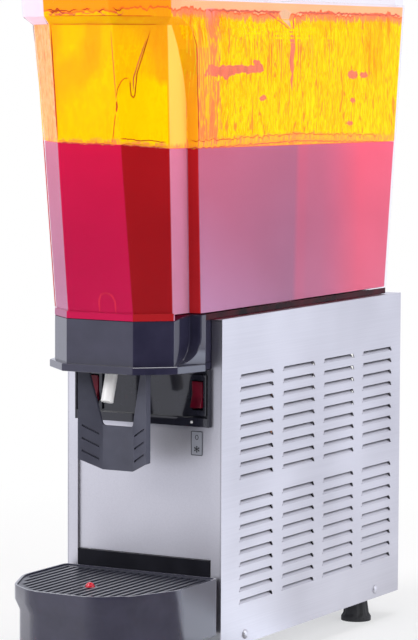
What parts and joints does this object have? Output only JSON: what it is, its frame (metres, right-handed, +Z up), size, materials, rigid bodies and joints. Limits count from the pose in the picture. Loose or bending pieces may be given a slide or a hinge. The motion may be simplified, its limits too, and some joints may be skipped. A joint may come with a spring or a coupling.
{
  "type": "cold drink dispenser",
  "caption": "Counter-top chilled drink dispenser: clear tall bowl with chamfered nose, push-lever tap, louvred steel cabinet and slotted drip tray.",
  "frame": {"origin": "middle of the outline's foot, on the surface the feet stand on", "axes": "+Z up; the tap faces -Y; +X is to the right of someone who faces the tap"},
  "size_m": [0.1848, 0.5715, 0.7],
  "materials": {
    "aluminium": "plain fin stock",
    "black_enamel": "black enamel",
    "black_gloss_plastic": "glossy black moulded plastic",
    "black_rubber": "black rubber",
    "bright_steel": "polished stainless",
    "brushed_steel": "fine brushed stainless sheet",
    "clear_plastic": "clear moulded plastic",
    "copper": "drawn copper tube",
    "dark_grey_plastic": "satin dark grey moulded plastic",
    "foam": "rigid foam",
    "galvanised_sheet": "dull zinc-coated sheet",
    "red_plastic": "glossy red moulded plastic",
    "white_plastic": "satin white moulded plastic"
  },
  "bodies": {
    "cabinet": {"base_pan": "galvanised_sheet", "bowl_collar": "black_gloss_plastic", "bowl_gasket": "white_plastic", "compressor": "black_enamel", "condenser": "aluminium", "console": "black_gloss_plastic", "control_box": "dark_grey_plastic", "cord_gland": "black_rubber", "discharge_pipe": "copper", "evaporator": "bright_steel", "evaporator_insulation": "foam", "fan_motor": "black_enamel", "fan_shroud": "galvanised_sheet", "front_left_mount": "black_rubber", "front_panel": "brushed_steel", "front_right_mount": "black_rubber", "left_front_screw": "brushed_steel", "left_rear_screw": "brushed_steel", "left_side_panel": "brushed_steel", "left_switch_bezel": "black_gloss_plastic", "liquid_line": "copper", "motor_bracket": "galvanised_sheet", "pilot_lamp": "white_plastic", "pump_cover": "white_plastic", "pump_motor": "black_enamel", "rear_left_mount": "black_rubber", "rear_panel": "brushed_steel", "rear_right_mount": "black_rubber", "right_front_screw": "brushed_steel", "right_rear_screw": "brushed_steel", "right_side_panel": "brushed_steel", "right_switch_bezel": "black_gloss_plastic", "spray_nozzle": "white_plastic", "spray_tube": "clear_plastic", "suction_pipe": "copper", "top_deck": "brushed_steel", "tray_bracket": "black_gloss_plastic"},
    "bowl": {"bowl": "clear_plastic", "tap_body": "dark_grey_plastic", "plunger_spring": "brushed_steel", "spout": "white_plastic", "lever_pin": "brushed_steel"},
    "lid": {"lid": "clear_plastic"},
    "tray": {"drip_tray": "black_gloss_plastic"},
    "grille": {"drip_grille": "dark_grey_plastic"},
    "float": {"tray_float": "red_plastic"},
    "lever": {"tap_lever": "dark_grey_plastic"},
    "plunger": {"tap_plunger": "white_plastic", "plunger_seal": "black_rubber", "plunger_pin": "brushed_steel"},
    "left_rocker": {"left_rocker": "red_plastic"},
    "right_rocker": {"right_rocker": "red_plastic"},
    "fan": {"fan_blade": "dark_grey_plastic"},
    "magnet": {"drive_magnet": "galvanised_sheet"},
    "impeller": {"impeller": "white_plastic"},
    "front_left_foot": {"front_left_foot": "black_rubber"},
    "front_right_foot": {"front_right_foot": "black_rubber"},
    "rear_left_foot": {"rear_left_foot": "black_rubber"},
    "rear_right_foot": {"rear_right_foot": "black_rubber"}
  },
  "joints": [
    {"name": "bowl_lift", "type": "slide", "parent": "cabinet", "child": "bowl", "axis": [0, 0, 1], "range_m": [0, 0.3]},
    {"name": "lid_lift", "type": "slide", "parent": "bowl", "child": "lid", "axis": [0, 0, 1], "range_m": [0, 0.08]},
    {"name": "tray_slide", "type": "slide", "parent": "cabinet", "child": "tray", "axis": [0, -1, 0], "range_m": [0, 0.1]},
    {"name": "grille_lift", "type": "slide", "parent": "tray", "child": "grille", "axis": [0, 0, 1], "range_m": [0, 0.06]},
    {"name": "float_rise", "type": "slide", "parent": "tray", "child": "float", "axis": [0, 0, 1], "range_m": [0, 0.015]},
    {"name": "lever_push", "type": "hinge", "parent": "bowl", "child": "lever", "pos_m": [0, -0.20165, 0.3385], "axis": [1, 0, 0], "range_deg": [0, 18], "stiffness_Nm_per_rad": 0.9, "springref_deg": -14.32},
    {"name": "plunger_rise", "type": "slide", "parent": "bowl", "child": "plunger", "axis": [0, 0, 1], "range_m": [0, 0.00373], "deforming": ["plunger_spring"]},
    {"name": "left_rocker_tilt", "type": "hinge", "parent": "cabinet", "child": "left_rocker", "pos_m": [-0.057, -0.12495, 0.2835], "axis": [1, 0, 0], "range_deg": [0, 16]},
    {"name": "right_rocker_tilt", "type": "hinge", "parent": "cabinet", "child": "right_rocker", "pos_m": [0.064, -0.12495, 0.2835], "axis": [1, 0, 0], "range_deg": [0, 16]},
    {"name": "fan_spin", "type": "hinge", "parent": "cabinet", "child": "fan", "pos_m": [0, -0.04765, 0.13], "axis": [0, 1, 0], "continuous": true},
    {"name": "magnet_spin", "type": "hinge", "parent": "cabinet", "child": "magnet", "pos_m": [0, 0.05935, 0.482], "axis": [0, 0, 1], "continuous": true},
    {"name": "impeller_spin", "type": "hinge", "parent": "cabinet", "child": "impeller", "pos_m": [0, 0.05935, 0.495], "axis": [0, 0, 1], "continuous": true},
    {"name": "front_left_foot_turn", "type": "hinge", "parent": "cabinet", "child": "front_left_foot", "pos_m": [-0.065, -0.07165, 0], "axis": [0, 0, 1], "continuous": true},
    {"name": "rear_left_foot_turn", "type": "hinge", "parent": "cabinet", "child": "rear_left_foot", "pos_m": [-0.065, 0.22735, 0], "axis": [0, 0, 1], "continuous": true},
    {"name": "front_right_foot_turn", "type": "hinge", "parent": "cabinet", "child": "front_right_foot", "pos_m": [0.065, -0.07165, 0], "axis": [0, 0, 1], "continuous": true},
    {"name": "rear_right_foot_turn", "type": "hinge", "parent": "cabinet", "child": "rear_right_foot", "pos_m": [0.065, 0.22735, 0], "axis": [0, 0, 1], "continuous": true}
  ],
  "couplings": [
    {"joint": "plunger_rise", "follows": "lever_push", "m_per_rad": 0.011804},
    {"joint": "impeller_spin", "follows": "magnet_spin", "ratio": 1}
  ]
}
